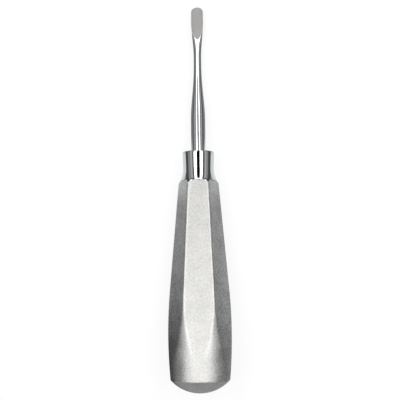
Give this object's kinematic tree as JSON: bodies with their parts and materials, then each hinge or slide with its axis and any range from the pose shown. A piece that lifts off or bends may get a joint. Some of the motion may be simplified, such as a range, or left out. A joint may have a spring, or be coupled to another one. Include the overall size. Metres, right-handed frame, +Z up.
{
  "type": "dental luxator",
  "caption": "Straight steel luxator: hollow gouge blade on a thin tapering shank, polished neck, tapered hexagonal hollow handle and a domed butt.",
  "frame": {"origin": "centre of the box, on the surface that the instrument lies on", "axes": "+Y from the butt to the blade's tip, +Z up out of the blade's hollow; it lies on the collar and on the foot of the handle flat behind the blade, so its own axis dips 4.24 degrees towards the tip"},
  "size_m": [0.0252, 0.1546, 0.0249],
  "materials": {
    "polished_steel": "polished, ground hollow satin",
    "blasted_steel": "fine bead blasted, polished neck",
    "blasted_cap": "fine bead blasted"
  },
  "bodies": {
    "root": {"working_end": "polished_steel", "handle_shell": "blasted_steel", "end_cap": "blasted_cap"}
  },
  "joints": []
}
